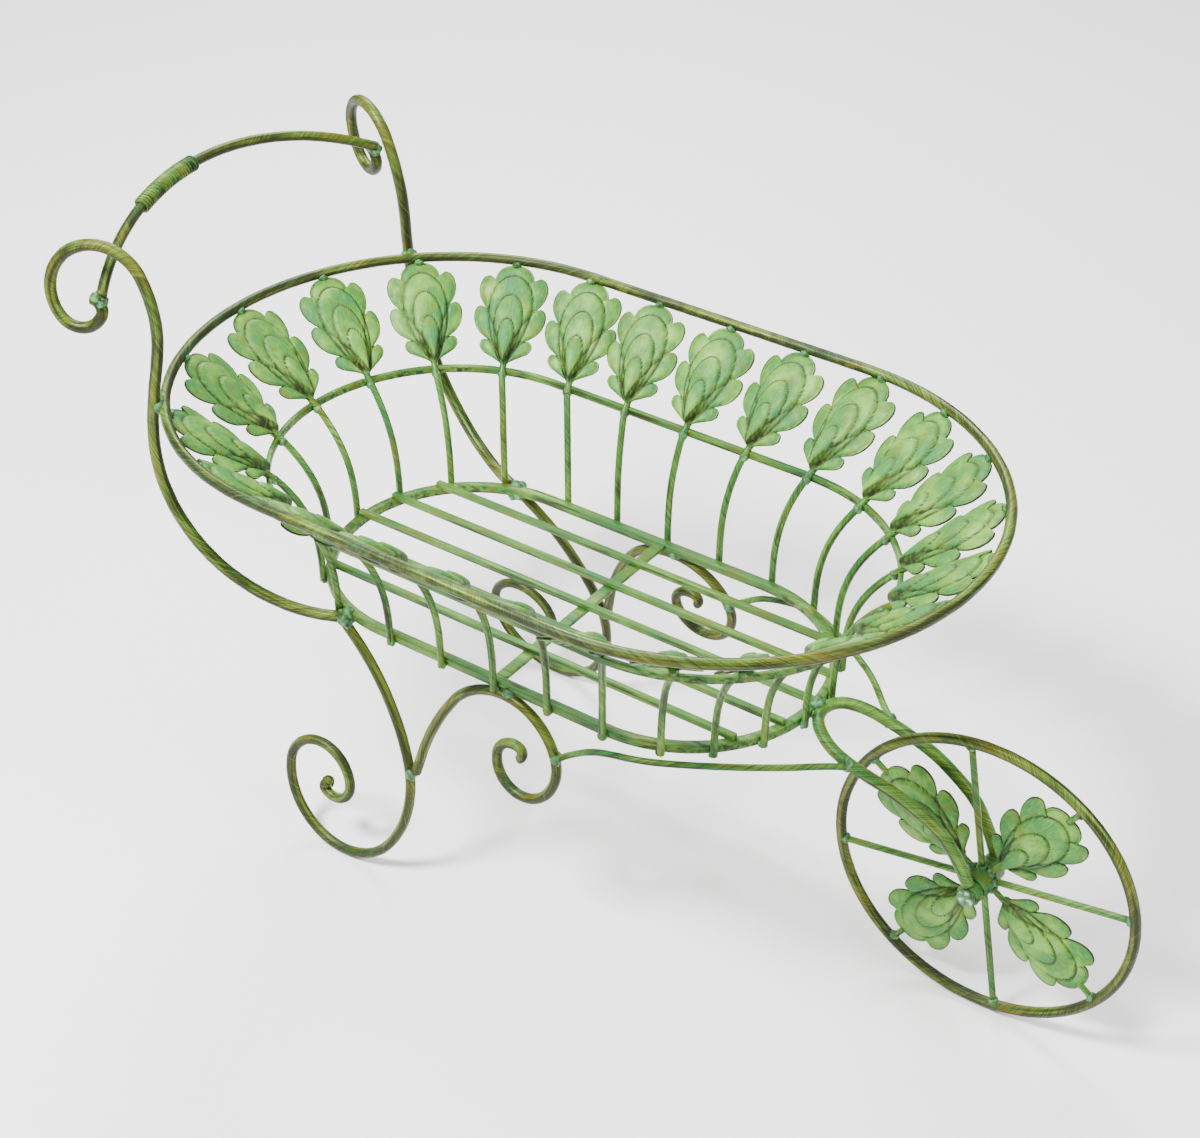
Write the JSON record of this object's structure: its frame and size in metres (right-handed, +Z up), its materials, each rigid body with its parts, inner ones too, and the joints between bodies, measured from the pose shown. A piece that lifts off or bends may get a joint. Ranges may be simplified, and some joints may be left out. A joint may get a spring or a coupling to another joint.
{
  "type": "garden wheelbarrow planter",
  "caption": "Decorative wrought-iron garden wheelbarrow planter in green patina, with leaf ribs, scroll legs and a spoked wheel that turns.",
  "frame": {"origin": "on the ground under the middle of the whole object's bounding box", "axes": "+X forward towards the wheel, +Y to the barrow's left, +Z up"},
  "size_m": [0.8137, 0.401, 0.4812],
  "materials": {
    "verdigris_iron": "matte verdigris patina brushed over dark iron",
    "bronzed_iron": "satin green paint rubbed back to brown gold and dark iron",
    "grip_wire": "painted wire coil, rubbed on its crests",
    "axle_steel": "worn zinc-grey bolt"
  },
  "bodies": {
    "barrow_frame": {"top_rim": "bronzed_iron", "middle_band": "bronzed_iron", "base_ring": "bronzed_iron", "floor_bar_1": "verdigris_iron", "floor_bar_2": "verdigris_iron", "floor_bar_3": "verdigris_iron", "floor_bar_4": "verdigris_iron", "floor_bar_5": "verdigris_iron", "cross_bar": "verdigris_iron", "leaf_rib_1": "verdigris_iron", "leaf_rib_2": "verdigris_iron", "leaf_rib_3": "verdigris_iron", "leaf_rib_4": "verdigris_iron", "leaf_rib_5": "verdigris_iron", "leaf_rib_6": "verdigris_iron", "leaf_rib_7": "verdigris_iron", "leaf_rib_8": "verdigris_iron", "leaf_rib_9": "verdigris_iron", "leaf_rib_10": "verdigris_iron", "leaf_rib_11": "verdigris_iron", "leaf_rib_12": "verdigris_iron", "leaf_rib_13": "verdigris_iron", "leaf_rib_14": "verdigris_iron", "leaf_rib_15": "verdigris_iron", "leaf_rib_16": "verdigris_iron", "leaf_rib_17": "verdigris_iron", "leaf_rib_18": "verdigris_iron", "leaf_rib_19": "verdigris_iron", "leaf_rib_20": "verdigris_iron", "leaf_rib_21": "verdigris_iron", "leaf_rib_22": "verdigris_iron", "leaf_rib_23": "verdigris_iron", "leaf_rib_24": "verdigris_iron", "leaf_rib_25": "verdigris_iron", "handle_rod_right": "bronzed_iron", "handle_rod_left": "bronzed_iron", "leg_right": "bronzed_iron", "leg_left": "bronzed_iron", "c_scroll_right": "bronzed_iron", "c_scroll_left": "bronzed_iron", "stretcher_right": "verdigris_iron", "stretcher_left": "verdigris_iron", "handle_bar": "bronzed_iron", "wire_grip": "grip_wire", "fork": "verdigris_iron", "fork_eye_right": "verdigris_iron", "fork_eye_left": "verdigris_iron", "axle": "axle_steel"},
    "wheel": {"wheel_hub": "verdigris_iron", "wheel_rim": "bronzed_iron", "spoke_1": "verdigris_iron", "spoke_2": "verdigris_iron", "spoke_3": "verdigris_iron", "spoke_4": "verdigris_iron", "wheel_leaf_1": "verdigris_iron", "wheel_leaf_2": "verdigris_iron", "wheel_leaf_3": "verdigris_iron", "wheel_leaf_4": "verdigris_iron"}
  },
  "joints": [
    {"name": "wheel_spin", "type": "hinge", "parent": "barrow_frame", "child": "wheel", "pos_m": [0.28941, 0, 0.1175], "axis": [0, 1, 0], "continuous": true}
  ]
}
